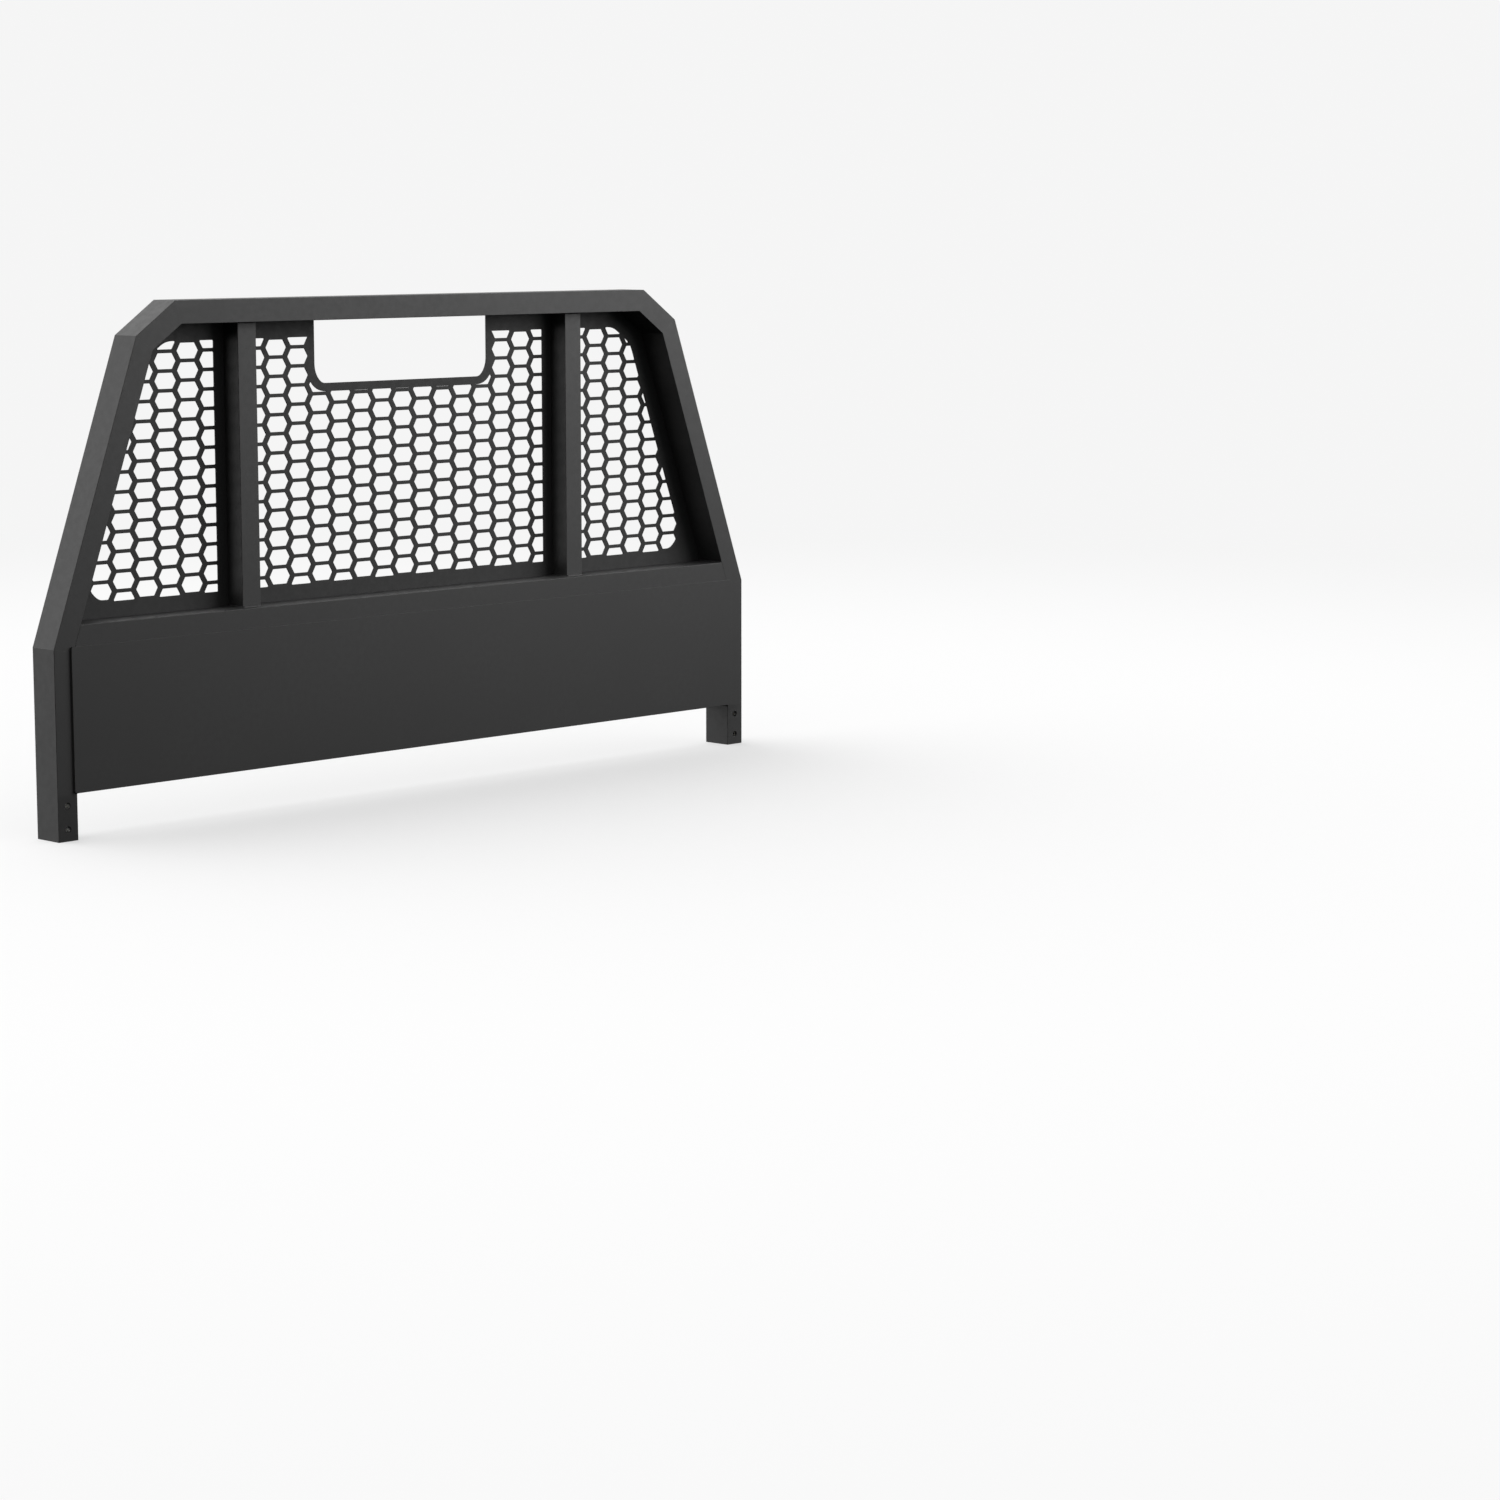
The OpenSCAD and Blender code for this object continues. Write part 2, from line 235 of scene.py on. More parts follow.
class Shader:
    """A material's node tree, with one short method for each kind of step in it."""

    def __init__(self, name):
        self.material = bpy.data.materials.new(name)
        self.material.use_nodes = True
        self.tree = self.material.node_tree
        self.tree.nodes.clear()
        self.place = self.add("TexCoord", output="Object")

    def add(self, kind, inputs=None, output=0, **settings):
        """One node, with its inputs linked or set; gives the named output."""
        return add_node(self.tree, kind, inputs, output, **settings)

    def noise(self, size, detail=2.0, roughness=0.5, place=None):
        """Cloudy noise from 0 to 1 whose features are size metres across."""
        inputs = {"Vector": place or self.place, "Scale": 1 / size, "Detail": detail,
                  "Roughness": roughness}
        return self.add("TexNoise", inputs)

    def ramp(self, value, low, high, to_low=0.0, to_high=1.0):
        """Smooth step of value from to_low at low to to_high at high."""
        inputs = {"Value": value, "From Min": low, "From Max": high, "To Min": to_low,
                  "To Max": to_high}
        return self.add("MapRange", inputs, interpolation_type="SMOOTHSTEP")

    def maths(self, operation, a, b):
        """Sum, difference or product of two values."""
        return self.add("Math", {0: a, 1: b}, operation=operation)

    def mix(self, factor, a, b):
        """Colour a, going over to b as factor goes to 1."""
        inputs = {0: factor, 6: a, 7: b}
        return self.add("Mix", inputs, output=2, data_type="RGBA")

    def bump(self, height, depth, normal=None):
        """Relief of the given depth in metres where height goes from 0 to 1."""
        inputs = {"Height": height, "Distance": depth, "Strength": 1.0}
        if normal:
            inputs["Normal"] = normal
        return self.add("Bump", inputs)

    def edges(self, radius):
        """1 on edges and 0 on flats, found by how far a bevel of this radius turns the surface."""
        flat, full_edge = 0.995, 0.86
        bevel = self.add("Bevel", {"Radius": radius}, samples=6)
        normal = self.add("NewGeometry", output="Normal")
        facing = self.add("VectorMath", {0: bevel, 1: normal}, output="Value",
                          operation="DOT_PRODUCT")
        return self.ramp(facing, flat, full_edge)

    def finish(self, **inputs):
        """Ends the tree in one surface shader; inputs are named with _ for a space."""
        surface = self.add("BsdfPrincipled", {k.replace("_", " "): v for k, v in inputs.items()})
        self.add("OutputMaterial", {"Surface": surface}, output=None)
        return self.material


def add_node(tree, kind, inputs=None, output=0, **settings):
    """Adds one node, sets it up and gives the named output, or nothing for None."""
    node = tree.nodes.new("ShaderNode" + kind)
    for key, value in settings.items():
        setattr(node, key, value)
    for key, value in (inputs or {}).items():
        if isinstance(value, bpy.types.NodeSocket):
            tree.links.new(value, node.inputs[key])
        else:
            node.inputs[key].default_value = value
    return None if output is None else node.outputs[output]


def grey(value, warmth=0.0):
    """Linear colour of a near-neutral grey."""
    return (value * (1 + warmth), value, value * (1 - warmth), 1.0)


# ---------------------------------------------------------------- materials

def powder_coat(name, tone, roughness, peel, edge_wear_and_highlight):
    """Satin black powder coat.

    tone is its linear grey, peel the size of its orange peel, and the last argument the strength of
    the lighter edges, partly real chipping and partly a painted highlight.
    """
    s = Shader(name)
    drift = s.noise(0.25, detail=3.0)
    mottle = s.noise(14 * MM, detail=3.0, roughness=0.6)
    orange_peel = s.noise(peel, detail=1.5)
    grit = s.noise(0.35 * MM, detail=1.0)
    edge = s.edges(1.6 * MM)
    chips = s.ramp(s.noise(5 * MM, detail=5.0, roughness=0.7), 0.52, 0.66)
    wear_and_edge_highlight = s.maths("MULTIPLY", s.maths("MULTIPLY", edge, chips), edge_wear_and_highlight)

    up = s.add("SeparateXYZ", {0: s.add("NewGeometry", output="Normal")}, output="Z")
    settled = s.ramp(s.noise(40 * MM, detail=5.0, roughness=0.65), 0.35, 0.7)
    dust = s.maths("MULTIPLY", s.ramp(up, 0.6, 1.0), s.maths("MULTIPLY", settled, 0.2))

    base = s.mix(s.ramp(drift, 0.3, 0.7), grey(tone * 0.88), grey(tone * 1.12, -0.01))
    base = s.mix(s.ramp(mottle, 0.35, 0.65), base, grey(tone * 1.05))
    base = s.mix(dust, base, grey(0.05, 0.03))
    # Lighter edges in patches: partly coat rubbed through on the edges, partly a painted highlight
    # along them.
    base = s.mix(wear_and_edge_highlight, base, grey(0.09, 0.01))

    spread = s.ramp(mottle, 0.3, 0.7, roughness - 0.03, roughness + 0.03)
    spread = s.maths("ADD", spread, s.maths("MULTIPLY", dust, 0.25))
    spread = s.maths("SUBTRACT", spread, s.maths("MULTIPLY", edge, 0.05))
    relief = s.bump(orange_peel, 0.08 * MM)
    relief = s.bump(grit, 0.006 * MM, relief)
    return s.finish(Base_Color=base, Roughness=spread, Normal=relief)


def moulded_plastic():
    """Black polyethylene with a fine spark-eroded grain."""
    s = Shader("cap_plastic")
    grain = s.noise(0.5 * MM, detail=3.0, roughness=0.7)
    flow = s.noise(18 * MM, detail=2.0)
    base = s.mix(flow, grey(0.016), grey(0.024))
    base = s.mix(s.maths("MULTIPLY", s.edges(0.8 * MM), 0.3), base, grey(0.06))
    spread = s.ramp(grain, 0.3, 0.7, 0.48, 0.62)
    return s.finish(Base_Color=base, Roughness=spread, Normal=s.bump(grain, 0.05 * MM))


def zinc_plate():
    """Bright zinc plating with a soft crystal bloom and turning marks."""
    s = Shader("plated_steel")
    bloom = s.add("TexVoronoi", {"Vector": s.place, "Scale": 1 / (2.5 * MM)}, output="Color")
    cell = s.add("SeparateColor", {0: bloom}, output=0)
    stain = s.noise(6 * MM, detail=4.0)
    marks = s.noise(0.3 * MM, detail=2.0, place=stretched(s, 1, 6, 1))
    base = s.mix(cell, grey(0.48, -0.01), grey(0.62, -0.01))
    base = s.mix(s.ramp(stain, 0.5, 0.75), base, (0.58, 0.53, 0.40, 1.0))
    spread = s.ramp(stain, 0.3, 0.7, 0.26, 0.42)
    return s.finish(Base_Color=base, Metallic=1.0, Roughness=spread,
                    Normal=s.bump(marks, 0.01 * MM))


def stretched(s, x, y, z):
    """Object coordinates squeezed by these factors, to draw noise out into strokes."""
    return s.add("Mapping", {"Vector": s.place, "Scale": (1 / x, 1 / y, 1 / z)})


def black_oxide():
    """Black oxide on steel, rubbed bright on its edges."""
    s = Shader("black_screws")
    bloom = s.noise(1.5 * MM, detail=4.0, roughness=0.65)
    edge = s.edges(0.35 * MM)
    rub = s.maths("MULTIPLY", edge, s.ramp(bloom, 0.35, 0.6, 0.05, 0.6))
    base = s.mix(bloom, grey(0.03, -0.02), grey(0.055, 0.02))
    base = s.mix(rub, base, grey(0.35))
    spread = s.ramp(bloom, 0.3, 0.7, 0.3, 0.46)
    return s.finish(Base_Color=base, Metallic=0.75, Roughness=spread,
                    Normal=s.bump(bloom, 0.015 * MM))


FRAME_COAT = powder_coat("powder_coat", tone=0.0125, roughness=0.55, peel=1.6 * MM, edge_wear_and_highlight=0.9)
# The screen's coat is a darker, rougher copy of the frame's, so the sheet reads darker than the
# frame.
SCREEN_COAT = powder_coat("screen_coat", tone=0.0075, roughness=0.68, peel=1.2 * MM, edge_wear_and_highlight=0.6)
PANEL_COAT = powder_coat("panel_coat", tone=0.0125, roughness=0.55, peel=1.9 * MM, edge_wear_and_highlight=0.7)
PLASTIC = moulded_plastic()
ZINC = zinc_plate()
OXIDE = black_oxide()


# ---------------------------------------------------------------- tubes

EDGE_R = 1.2 * MM
BORE_R = 0.8 * MM
ROUND_STEPS = 5
DRILL_SIDES = 32


def section(width, depth, y0):
    """Outer and inner loop of a tube's section, as (inset, y) points."""
    outer = arc_points((0, y0), (width, y0 + depth), EDGE_R, ROUND_STEPS)
    inner = arc_points((TUBE_WALL, y0 + TUBE_WALL),
                       (width - TUBE_WALL, y0 + depth - TUBE_WALL), BORE_R, ROUND_STEPS)
    return outer, inner


def tube(name, loops, start, end):
    """Hollow tube whose section loops are put on its two end cuts by start and end."""
    outer, inner = loops
    bm = bmesh.new()
    loft(bm, [[place(*p) for p in loop] for place, loop in
              ((start, outer), (end, outer), (end, inner), (start, inner))], closed=True)
    return finished(name + "_tube", bm, FRAME_COAT, [name])


def mitre_cut(i, side):
    """Puts a section point on the cut at outline corner i, on the right or the left side."""
    def place(inset, y):
        corner = frame_corner(i, inset)
        return Vector((side * corner.x, y, corner.y))
    return place


def sill_cut(side):
    """Puts a section point on the end of the sill rail, against the leaning post."""
    def place(inset, y):
        z = SILL_TOP - inset
        return Vector((side * lean_x(TUBE_W, z), y, z))
    return place


def rail_cut(side):
    """Puts a section point on the end of the bottom rail, against the post."""
    def place(inset, y):
        return Vector((side * INNER_X, y, RAIL_TOP - inset))
    return place


def level_cut(x0, z):
    """Puts a section point of a standing tube, whose left side is at x0, at height z."""
    def place(inset, y):
        return Vector((x0 + inset, y, z))
    return place


def drill(piece, places, profile):
    """Cuts round holes along Y in a tube; profile is the drill's own, as (y, radius) steps."""
    bm = bmesh.new()
    for x, z in places:
        rings = [[Vector((x + r * math.cos(a), y, z + r * math.sin(a)))
                  for a in circle_angles(DRILL_SIDES)] for y, r in profile]
        loft(bm, rings, cap_start=True, cap_end=True)
    bmesh.ops.recalc_face_normals(bm, faces=bm.faces)
    mesh = bpy.data.meshes.new("drill")
    bm.to_mesh(mesh)
    bm.free()
    cutter = bpy.data.objects.new("drill", mesh)
    bpy.context.scene.collection.objects.link(cutter)
    cut = piece.modifiers.new("holes", "BOOLEAN")
    cut.object = cutter
    cut.solver = "EXACT"
    piece.modifiers.move(len(piece.modifiers) - 1, 0)
    piece.modifiers["weighted_normals"].show_viewport = False
    bpy.context.view_layer.update()
    graph = bpy.context.evaluated_depsgraph_get()
    drilled = bpy.data.meshes.new_from_object(piece.evaluated_get(graph), depsgraph=graph)
    piece.modifiers.clear()
    old = piece.data
    piece.data = drilled
    bpy.data.meshes.remove(old)
    bpy.data.objects.remove(cutter)
    bpy.data.meshes.remove(mesh)
    piece.data.shade_smooth()
    settle_normals(piece, CREASE)


def circle_angles(count):
    """Angles of count points, evenly round a circle."""
    return [2 * math.pi * k / count for k in range(count)]


FRAME_SECTION = section(TUBE_W, TUBE_D, LOAD_Y)
NUT_HOLE_R = 4.5 * MM
BOLT_HOLE_R = 6.75 * MM
HOLE_CHAMFER = 0.5 * MM


def bolt_drill():
    """Depths and radii of a drill through a post, which chamfers the hole on both outsides."""
    chamfer = HOLE_CHAMFER
    flare = BOLT_HOLE_R + chamfer
    return [(LOAD_Y - chamfer, flare + chamfer), (LOAD_Y + chamfer, BOLT_HOLE_R),
            (CAB_Y - chamfer, BOLT_HOLE_R), (CAB_Y + chamfer, flare + chamfer)]


def nut_drill():
    """Depths and radii of a drill for the rivet nuts, through the cab wall alone."""
    return [(CAB_Y - 2 * TUBE_WALL, NUT_HOLE_R), (CAB_Y + TUBE_WALL, NUT_HOLE_R)]


def drill_for_nuts(piece, nodes):
    """Holes for the rivet nuts that lie within the box of these nodes."""
    low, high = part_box(nodes)
    inside = [(x, z) for x, z in SCREW_PLACES if low.x < x < high.x and low.z < z < high.z]
    drill(piece, inside, nut_drill())


def make_frame():
    """Every tube of the frame, drilled for its bolts and rivet nuts."""
    for side, word in ((LEFT, "left"), (RIGHT, "right")):
        for i, part in enumerate(("post", "slant", "corner")):
            name = f"{part}_{word}"
            piece = tube(name, FRAME_SECTION, mitre_cut(i, side), mitre_cut(i + 1, side))
            if part == "post":
                drill(piece, [p for p in BOLT_PLACES if p[0] * side > 0], bolt_drill())
            else:
                own = [p for p in SCREW_PLACES if p[0] * side > 0 and on_stretch(p, i, side)]
                drill(piece, own, nut_drill())
        name = f"upright_{word}"
        low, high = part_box(name)
        loops = section(TUBE_W, high.y - low.y, low.y)
        piece = tube(name, loops, level_cut(low.x, low.z), level_cut(low.x, high.z))
        drill_for_nuts(piece, name)
    beam = tube("top_beam", FRAME_SECTION, mitre_cut(3, LEFT), mitre_cut(3, RIGHT))
    drill(beam, [p for p in SCREW_PLACES if p[1] > BEAM_Z and abs(p[0]) < CROWN_X], nut_drill())
    sill = tube("sill_rail", FRAME_SECTION, sill_cut(LEFT), sill_cut(RIGHT))
    drill(sill, [p for p in SCREW_PLACES if p[1] < SILL_TOP], nut_drill())
    tube("bottom_rail", FRAME_SECTION, rail_cut(LEFT), rail_cut(RIGHT))
    for word in ("left", "center", "right"):
        low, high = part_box(f"lower_stud_{word}")
        loops = section(TUBE_W, high.y - low.y, low.y)
        tube(f"lower_stud_{word}", loops, level_cut(low.x, low.z), level_cut(low.x, high.z))


def on_stretch(place, i, side):
    """True if a screw lies on the middle line of outline stretch i."""
    a, b = frame_corner(i, TUBE_W / 2), frame_corner(i + 1, TUBE_W / 2)
    point = Vector((side * place[0], place[1]))
    off_line = abs((point - a).cross((b - a).normalized()))
    along = (point - a).dot(b - a) / (b - a).length_squared
    return off_line < MM and 0 < along < 1


# ---------------------------------------------------------------- sheets

ARC_TURN = math.radians(35)
STRAIGHT_TURN = math.radians(1)
SHEET_SOFTNESS = 0.4 * MM
# Share of a side that a rounded corner may use, a little less than half
CORNER_REACH = 0.49


def without_straight_points(points):
    """The loop without the points that lie on its straight sides."""
    return [p for a, p, b in with_neighbours(points)
            if (p - a).angle(b - p) > STRAIGHT_TURN]


def rounded(points, radius):
    """The loop with its corners rounded to radius, and the corners along its arcs blended away."""
    curve = []
    for before, corner, after in with_neighbours(points):
        back, on = before - corner, after - corner
        turn = math.pi - back.angle(on)
        is_corner = turn > ARC_TURN
        reach = CORNER_REACH * min(back.length, on.length)
        if is_corner:
            reach = min(reach, radius * math.tan(turn / 2))
        steps = 4 if is_corner else 2
        start = corner + back.normalized() * reach
        end = corner + on.normalized() * reach
        for k in range(steps + 1):
            t = k / steps
            curve.append((1 - t) ** 2 * start + 2 * t * (1 - t) * corner + t ** 2 * end)
    return curve


def moved_inwards(points, distance):
    """The loop moved by distance into the material on its left."""
    moved = []
    for before, point, after in with_neighbours(points):
        a = (point - before).normalized()
        b = (after - point).normalized()
        left_a, left_b = Vector((-a.y, a.x)), Vector((-b.y, b.x))
        both = left_a + left_b
        moved.append(point + both * (distance / max(1 + left_a.dot(left_b), 0.5)))
    return moved


def filling(loops):
    """Index triples of triangles that fill the first loop, less the others."""
    points = [p for loop in loops for p in loop]
    faces = []
    start = 0
    for loop in loops:
        indices = list(range(start, start + len(loop)))
        faces.append(indices if area(loop) > 0 else indices[::-1])
        start += len(loop)
    inside_only = 1
    filled = delaunay_2d_cdt(points, [], faces, inside_only, SMALLEST, True)
    _, _, triangles, from_verts, _, from_faces = filled
    return [[from_verts[v][0] for v in triangle]
            for triangle, inside in zip(triangles, from_faces, strict=True) if inside == [0]]


def sheet(bm, loops, y0, y1, softness):
    """Flat sheet between depths y0 and y1, outlined by loops, with all its edges softened."""
    loops = sorted(loops, key=lambda p: -abs(area(p)))
    profile = []
    for angle in (0, 30, 60, 90):
        lean = softness * (1 - math.sin(math.radians(angle)))
        sink = softness * (1 - math.cos(math.radians(angle)))
        profile.append((lean, y0 + sink))
    profile += [(lean, y0 + y1 - y) for lean, y in profile[::-1]]
    first, last = [], []
    for loop in loops:
        rings = [[Vector((p.x, y, p.y)) for p in moved_inwards(loop, lean)]
                 for lean, y in profile]
        made = loft(bm, rings)
        first += made[0]
        last += made[-1]
    for a, b, c in filling([moved_inwards(loop, softness) for loop in loops]):
        bm.faces.new((first[a], first[b], first[c]))
        bm.faces.new((last[c], last[b], last[a]))


def make_screen():
    """The screen, redrawn from the CAD sheet's own outlines with softened edges."""
    hole_corner_r = 2.7 * MM
    loops = [rounded(without_straight_points(loop), hole_corner_r)
             for loop in flat_loops("screen", CAB_Y)]
    bm = bmesh.new()
    sheet(bm, loops, CAB_Y, SHEET_Y, softness=SHEET_SOFTNESS)
    finished("screen_sheet", bm, SCREEN_COAT, ["screen"])


def make_lower_plate():
    """Plate on the load side, with rounded corners."""
    low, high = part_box("lower_panel")
    corner_r = 5 * MM
    outline = arc_points((low.x, low.z), (high.x, high.z), corner_r, 8)
    bm = bmesh.new()
    sheet(bm, [outline], low.y, high.y, softness=SHEET_SOFTNESS)
    finished("lower_plate", bm, PANEL_COAT, ["lower_panel"])


# ---------------------------------------------------------------- welds

def weld(bm, start, end, one, other, leg, seed):
    """Fillet bead in the inside corner from start to end; one and other lie along its two faces."""
    draws = random.Random(seed)
    pitch = 2.4 * MM
    bow = 1.1 * MM
    length = (end - start).length
    along = (end - start).normalized()
    station = 0.6 * MM
    stations = max(12, round(length / station))
    across = 6
    root_depth = 0.3 * MM
    wander_length = 17 * MM
    flatness = 0.55
    phase = draws.random()
    rings = []
    for k in range(stations + 1):
        s = length * k / stations
        near_end = min(s, length - s) / leg
        swell = math.sqrt(1 - (1 - min(1.0, near_end)) ** 2)
        wander = 1 + 0.05 * math.sin(2 * math.pi * (s / wander_length + phase))
        middle = start + along * s
        ring = [middle - (one + other) * root_depth]
        for j in range(across + 1):
            t = j / across
            crest = s + bow * math.sin(math.pi * t)
            ripple = 0.07 * abs(math.sin(math.pi * (crest / pitch + phase)))
            size = leg * wander * (1 + ripple) * max(swell, 0.02)
            chord = (1 - t) * one + t * other
            bulge = math.cos(t * math.pi / 2) * one + math.sin(t * math.pi / 2) * other
            ring.append(middle + size * (flatness * chord + (1 - flatness) * bulge))
        rings.append(ring)
    loft(bm, rings, cap_start=True, cap_end=True)


def foot_welds(bm, node, z, up, leg, sides):
    """Beads round a standing tube's end at height z; up is 1 on a floor and -1 on a ceiling."""
    low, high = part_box(node)
    rise = Vector((0, 0, up))
    inset = EDGE_R
    lines = {
        "left": ((low.x, low.y + inset), (low.x, high.y - inset), Vector((-1, 0, 0))),
        "right": ((high.x, low.y + inset), (high.x, high.y - inset), Vector((1, 0, 0))),
        "load": ((low.x + inset, low.y), (high.x - inset, low.y), Vector((0, -1, 0))),
        "cab": ((low.x + inset, high.y), (high.x - inset, high.y), Vector((0, 1, 0))),
    }
    for side in sides:
        a, b, outward = lines[side]
        weld(bm, Vector((*a, z)), Vector((*b, z)), outward, rise, leg, f"{node}{side}{up}")


def make_welds():
    """Weld beads in the frame's inside corners; the mitres are ground flush and show none."""
    bm = bmesh.new()
    small, usual = 3 * MM, 4.5 * MM
    for word in ("left", "right"):
        foot_welds(bm, f"upright_{word}", SILL_TOP, 1, small, ("left", "right", "load"))
        foot_welds(bm, f"upright_{word}", BEAM_Z, -1, small, ("left", "right", "load"))
    for word in ("left", "center", "right"):
        foot_welds(bm, f"lower_stud_{word}", RAIL_TOP, 1, usual, ("left", "right", "cab"))
        foot_welds(bm, f"lower_stud_{word}", SILL_Z, -1, usual, ("left", "right", "cab"))
    lean = heading(1)
    for side in (LEFT, RIGHT):
        inwards = Vector((-side, 0, 0))
        slope = Vector((side * lean.x, 0, lean.y))
        ends = (
            (lean_x(TUBE_W, SILL_TOP), SILL_TOP, slope, small),
            (lean_x(TUBE_W, SILL_Z), SILL_Z, -slope, small),
            (INNER_X, RAIL_TOP, Vector((0, 0, 1)), usual),
            (INNER_X, RAIL_Z, Vector((0, 0, -1)), usual),
        )
        for x, z, wall, leg in ends:
            a = Vector((side * x, LOAD_Y + EDGE_R, z))
            b = Vector((side * x, CAB_Y - EDGE_R, z))
            weld(bm, a, b, inwards, wall, leg, f"end{side}{z}")
    plate_stitches(bm, 3.5 * MM)
    finished("weld_beads", bm, FRAME_COAT, crease=WELD_CREASE)


def plate_stitches(bm, leg):
    """Short welds that hold the lower plate to the studs and the bottom rail, on the cab side."""
    length = 35 * MM
    to_cab = Vector((0, 1, 0))
    for word in ("left", "center", "right"):
        low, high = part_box(f"lower_stud_{word}")
        for x, outward in ((low.x, -1), (high.x, 1)):
            for share in (0.2, 0.5, 0.8):
                z = low.z + share * (high.z - low.z)
                a = Vector((x, LOAD_Y, z - length / 2))
                b = Vector((x, LOAD_Y, z + length / 2))
                weld(bm, a, b, Vector((outward, 0, 0)), to_cab, leg, f"stitch{x}{share}")
    stud_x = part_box("lower_stud_right")[0].x
    for side in (LEFT, RIGHT):
        for share in (0.12, 0.32, 0.68, 0.88):
            middle = side * share * stud_x
            outer = side * (stud_x + TUBE_W + share * (INNER_X - stud_x - TUBE_W))
            for x in (middle + side * TUBE_W / 2, outer):
                a = Vector((x - length / 2, LOAD_Y, RAIL_TOP))
                b = Vector((x + length / 2, LOAD_Y, RAIL_TOP))
                weld(bm, a, b, Vector((0, 0, 1)), to_cab, leg, f"rail{x}")


# ---------------------------------------------------------------- fasteners

ROUND_COUNT = 48


def ring(radius, height, corners=0):
    """Loop at this height along a fastener's axis: a circle, or a hexagon across its corners."""
    points = []
    for angle in circle_angles(ROUND_COUNT):
        r = radius
        if corners:
            step = 2 * math.pi / corners
            r = radius * math.cos(step / 2) / math.cos(angle % step - step / 2)
        points.append(Vector((r * math.cos(angle), r * math.sin(angle), height)))
    return points


def towards_cab(x, y, z, turn=0.0):
    """Stands a fastener, made along +Z, at this place with its axis along +Y."""
    facing = Matrix.Rotation(-math.pi / 2, 4, "X")
    return Matrix.Translation((x, y, z)) @ facing @ Matrix.Rotation(turn, 4, "Z")


def turned(bm, profile, matrix, closed=False):
    """Turns a profile of (radius, height) or (radius, height, corners) into a solid."""
    loops = [[matrix @ p for p in ring(*step)] for step in profile]
    loft(bm, loops, closed=closed, cap_start=not closed, cap_end=not closed)


def screw_profile():
    """Button head with a hexagon socket, from the bottom of the socket to the shank's point."""
    head_r = 5.25 * MM
    head_h = HEAD_Y - WASHER_Y
    flat_r = 0.6 * head_r
    socket_r = 4 * MM / math.sqrt(3)
    shank_r = 2.9 * MM
    profile = [
        (0.2 * MM, head_h - 2.4 * MM),
        (socket_r * 0.8, head_h - 2 * MM),
        (socket_r, head_h - 2 * MM, 6),
        (socket_r, head_h - 0.15 * MM, 6),
        (socket_r + 0.2 * MM, head_h, 6),
        (flat_r - 0.25 * MM, head_h),
    ]
    for angle in range(80, 0, -10):
        turn = math.radians(angle)
        profile.append((flat_r + (head_r - flat_r) * math.cos(turn), head_h * math.sin(turn)))
    profile += [
        (head_r, 0.35 * MM),
        (head_r - 0.15 * MM, 0),
        (shank_r, 0),
        (shank_r, -13 * MM),
        (shank_r - 0.8 * MM, -14 * MM),
    ]
    return profile


def make_fasteners():
    """Screws, washers and rivet nuts that hold the screen; the screws are turned at random."""
    draws = random.Random(7)
    screws, washers, nuts = bmesh.new(), bmesh.new(), bmesh.new()
    thick = WASHER_Y - SHEET_Y
    soft = 0.2 * MM
    hole_r = 3.3 * MM
    washer = [(hole_r, soft), (hole_r + soft, 0), (WASHER_R - soft, 0), (WASHER_R, soft),
              (WASHER_R, thick - soft), (WASHER_R - soft, thick), (hole_r + soft, thick),
              (hole_r, thick - soft)]
    for x, z in SCREW_PLACES:
        turned(screws, screw_profile(), towards_cab(x, WASHER_Y, z, draws.uniform(0, 1.05)))
        turned(washers, washer, towards_cab(x, SHEET_Y, z), closed=True)
        turned(nuts, nut_profile(), towards_cab(x, CAB_Y, z), closed=True)
    finished("button_head_screws", screws, OXIDE, ["screen_screws"])
    finished("flat_washers", washers, OXIDE, ["screen_washers"])
    finished("rivet_nuts", nuts, ZINC, ["screen_rivet_nuts"])


def nut_profile():
    """Rivet nut that is set in the tube's wall, its bulge clamped against the inside."""
    bore = 3.05 * MM
    body = 4.4 * MM
    bulge = 6.4 * MM
    wall = -TUBE_WALL
    return [(bore, -0.1 * MM), (body, -0.1 * MM), (body, wall), (bulge - 0.5 * MM, wall),
            (bulge, wall - 0.7 * MM), (bulge, wall - 1.5 * MM), (body + 0.2 * MM, wall - 2.5 * MM),
            (body, wall - 3 * MM), (body, -12.6 * MM), (body - 0.4 * MM, -13 * MM),
            (bore, -13 * MM)]


def make_sleeves():
    """Crush sleeves round the mounting bolts, inside the posts."""
    bm = bmesh.new()
    length = TUBE_D - 2 * TUBE_WALL
    soft = 0.6 * MM
    profile = [(BOLT_HOLE_R, soft), (BOLT_HOLE_R + soft, 0), (SLEEVE_R - soft, 0),
               (SLEEVE_R, soft), (SLEEVE_R, length - soft), (SLEEVE_R - soft, length),
               (BOLT_HOLE_R + soft, length), (BOLT_HOLE_R, length - soft)]
    for x, z in BOLT_PLACES:
        turned(bm, profile, towards_cab(x, LOAD_Y + TUBE_WALL, z), closed=True)
    finished("crush_sleeves", bm, ZINC, ["mount_sleeves"])


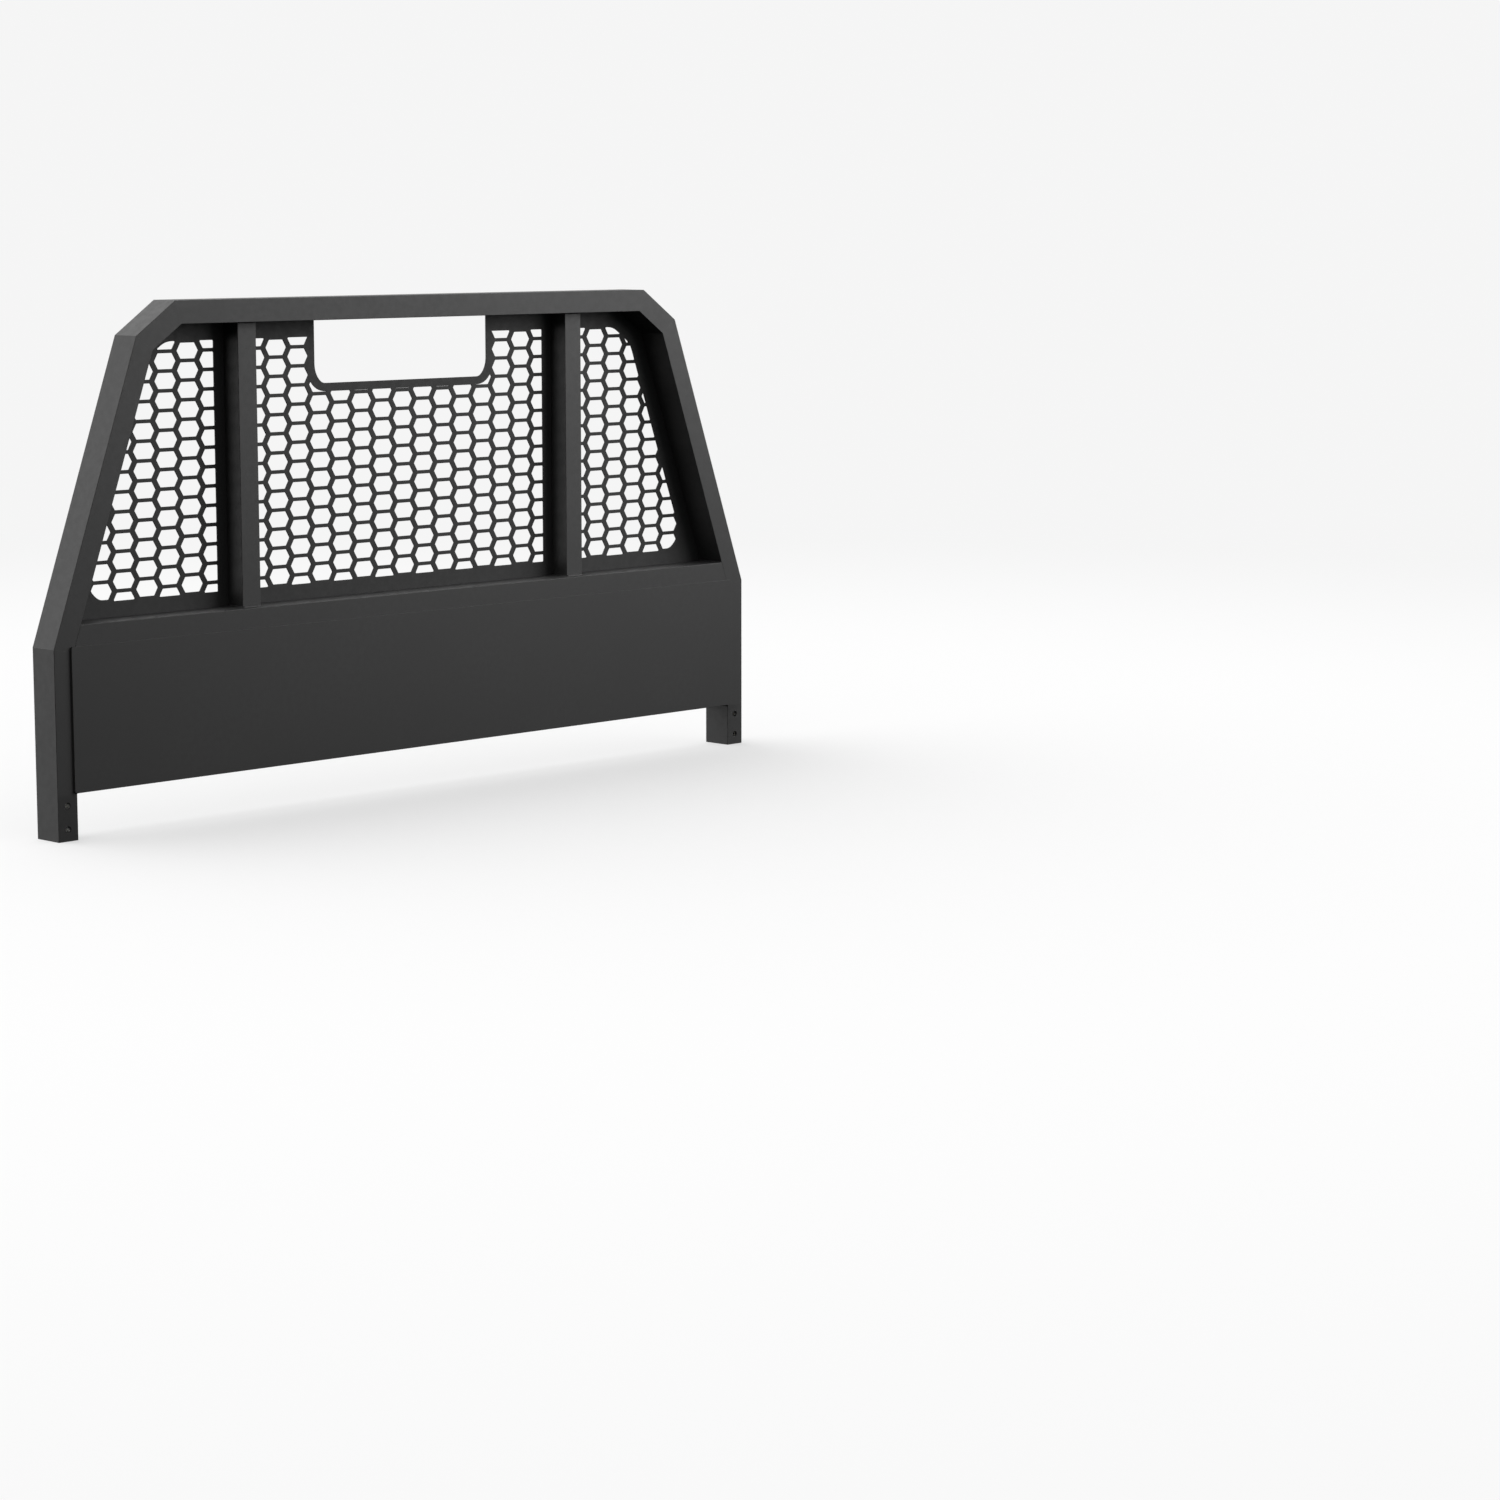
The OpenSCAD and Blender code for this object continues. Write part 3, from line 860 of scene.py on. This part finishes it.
def make_foot_caps():
    """Ribbed plastic plugs with a flange as wide as the post."""
    flange = FOOT_Z
    slack = 0.2 * MM
    plug_inset = TUBE_WALL + slack
    wall = 3 * MM
    for side, word in ((LEFT, "left"), (RIGHT, "right")):
        low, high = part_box(f"foot_cap_{word}")
        # Inset from the outside and height of each ring, up the outside and down the inside
        steps = [(7 * MM, 0.8 * MM), (6 * MM, 0), (1.2 * MM, 0), (0.3 * MM, 0.3 * MM),
                 (0, 1.2 * MM), (0, flange - 0.3 * MM), (0.3 * MM, flange),
                 (plug_inset + 0.8 * MM, flange)]
        for fin in range(3):
            z = flange + (1.5 + 3 * fin) * MM
            steps += [(plug_inset + 0.8 * MM, z), (plug_inset, z + 0.6 * MM),
                      (plug_inset, z + 1.0 * MM), (plug_inset + 0.8 * MM, z + 1.4 * MM)]
        steps += [(plug_inset + 1.2 * MM, high.z), (plug_inset + wall - 0.4 * MM, high.z),
                  (plug_inset + wall, high.z - 0.4 * MM), (plug_inset + wall, flange)]
        loops = []
        for inset, z in steps:
            radius = max(EDGE_R - inset, BORE_R)
            flat = arc_points((low.x + inset, low.y + inset), (high.x - inset, high.y - inset),
                              radius, ROUND_STEPS)
            loops.append([Vector((*p, z)) for p in flat])
        bm = bmesh.new()
        loft(bm, loops, cap_start=True, cap_end=True)
        finished(f"foot_plug_{word}", bm, PLASTIC, [f"foot_cap_{word}"])


# ---------------------------------------------------------------- studio

BACKDROP = 0.915


def make_floor():
    """Pale floor that goes over into the backdrop far from the rack."""
    near, far = 2.5, 7
    glow_near, glow_far = 0.55, 1.0
    mesh = bpy.data.meshes.new("floor")
    bm = bmesh.new()
    bmesh.ops.create_circle(bm, cap_ends=True, segments=96, radius=60)
    bm.to_mesh(mesh)
    bm.free()
    floor = bpy.data.objects.new("floor", mesh)
    bpy.context.scene.collection.objects.link(floor)
    s = Shader("floor")
    distance = s.add("VectorMath", {0: s.place}, output="Value", operation="LENGTH")
    matt = s.add("BsdfDiffuse", {"Color": grey(0.90)})
    glow = s.add("Emission", {"Color": grey(BACKDROP)})
    glow_share = s.ramp(distance, near, far, glow_near, glow_far)
    surface = s.add("MixShader", {0: glow_share, 1: matt, 2: glow})
    s.add("OutputMaterial", {"Surface": surface}, output=None)
    mesh.materials.append(s.material)
    floor.visible_glossy = False
    floor.visible_diffuse = False
    floor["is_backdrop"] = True


def make_deck_flag():
    """Black card where a truck's deck would be. It is seen in reflections alone."""
    low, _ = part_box("lower_panel")
    mesh = bpy.data.meshes.new("deck_flag")
    deck_length = 2.9
    gap = 2 * MM
    front = low.y - gap
    corners = [(-HALF_W, front), (-HALF_W, front - deck_length),
               (HALF_W, front - deck_length), (HALF_W, front)]
    mesh.from_pydata([(x, y, low.z) for x, y in corners], [], [(0, 1, 2, 3)])
    flag = bpy.data.objects.new("deck_flag", mesh)
    bpy.context.scene.collection.objects.link(flag)
    s = Shader("deck_flag")
    mesh.materials.append(s.finish(Base_Color=grey(0.02), Roughness=0.35))
    flag.visible_camera = False
    flag.visible_diffuse = False
    flag.visible_shadow = False
    flag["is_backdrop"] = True


# Soft light from far round the rack: its direction, the cosines where it starts and where it is
# full, and its strength
SOFT_LIGHTS = (
    ((-0.5, 0.8, 0.4), (0.15, 0.95), 1.7),
    ((0.55, 0.7, 0.5), (0.3, 0.95), 0.5),
    ((0.1, -0.8, 0.5), (0.2, 0.95), 0.3),
    ((0.0, 0.0, 1.0), (0.0, 0.8), 0.45),
)
GROUND_LIGHT = 0.015


def make_world():
    """Soft studio light that the camera sees as an even backdrop."""
    world = bpy.data.worlds.new("studio")
    bpy.context.scene.world = world
    world.use_nodes = True
    tree = world.node_tree
    tree.nodes.clear()
    way = add_node(tree, "TexCoord", output="Generated")

    def lobe(direction, start, full, strength):
        """Light that grows smoothly towards a direction."""
        towards = add_node(tree, "VectorMath", {0: way, 1: Vector(direction).normalized()},
                           output="Value", operation="DOT_PRODUCT")
        return add_node(tree, "MapRange", {"Value": towards, "From Min": start, "From Max": full,
                                           "To Min": 0.0, "To Max": strength},
                        interpolation_type="SMOOTHSTEP")

    total = 0.0
    for direction, (start, full), strength in SOFT_LIGHTS:
        soft = lobe(direction, start, full, strength)
        total = add_node(tree, "Math", {0: total, 1: soft}, operation="ADD")
    fade_start, fade_end = -0.4, -0.1
    above_ground = lobe((0, 0, 1), fade_start, fade_end, 1.0)
    total = add_node(tree, "Math", {0: total, 1: above_ground}, operation="MULTIPLY")
    total = add_node(tree, "Math", {0: total, 1: GROUND_LIGHT}, operation="ADD")
    lighting = add_node(tree, "Background", {"Color": grey(1.0), "Strength": total})
    backdrop = add_node(tree, "Background", {"Color": grey(BACKDROP)})
    seen = add_node(tree, "LightPath", output="Is Camera Ray")
    shown = add_node(tree, "MixShader", {0: seen, 1: lighting, 2: backdrop})
    add_node(tree, "OutputWorld", {"Surface": shown}, output=None)


def make_softbox():
    """Wide softbox above the load side on the right. It lights the rack and not the floor."""
    data = bpy.data.lights.new("softbox", "AREA")
    data.shape = "RECTANGLE"
    data.size = 4.5
    data.size_y = 3.0
    data.energy = 180
    softbox = bpy.data.objects.new("softbox", data)
    place = Vector((3.2, -2.8, 2.2))
    aim = Vector((0, 0, 0.7))
    softbox.location = place
    softbox.rotation_euler = (aim - place).to_track_quat("-Z", "Y").to_euler()
    bpy.context.scene.collection.objects.link(softbox)
    lit = bpy.data.collections.new("lit_by_softbox")
    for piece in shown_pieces():
        lit.objects.link(piece)
    softbox.light_linking.receiver_collection = lit


def make_camera():
    """Long lens a little above the rack, looking from the load side on the left."""
    azimuth = math.radians(-46.15)
    elevation = math.radians(8.25)
    data = bpy.data.cameras.new("camera")
    data.lens = 90.07
    data.sensor_width = 36
    data.clip_end = 200
    camera = bpy.data.objects.new("camera", data)
    camera.location = (-5.678, -6.523, 1.3354)
    camera.rotation_euler = (math.pi / 2 - elevation, 0, azimuth)
    bpy.context.scene.collection.objects.link(camera)
    bpy.context.scene.camera = camera


def plain_colours():
    """Shows colours as they are, with no film look."""
    bpy.context.scene.view_settings.view_transform = "Standard"


make_camera()
make_frame()
make_screen()
make_lower_plate()
make_welds()
make_fasteners()
make_sleeves()
make_foot_caps()
make_floor()
make_deck_flag()
make_world()
make_softbox()
plain_colours()
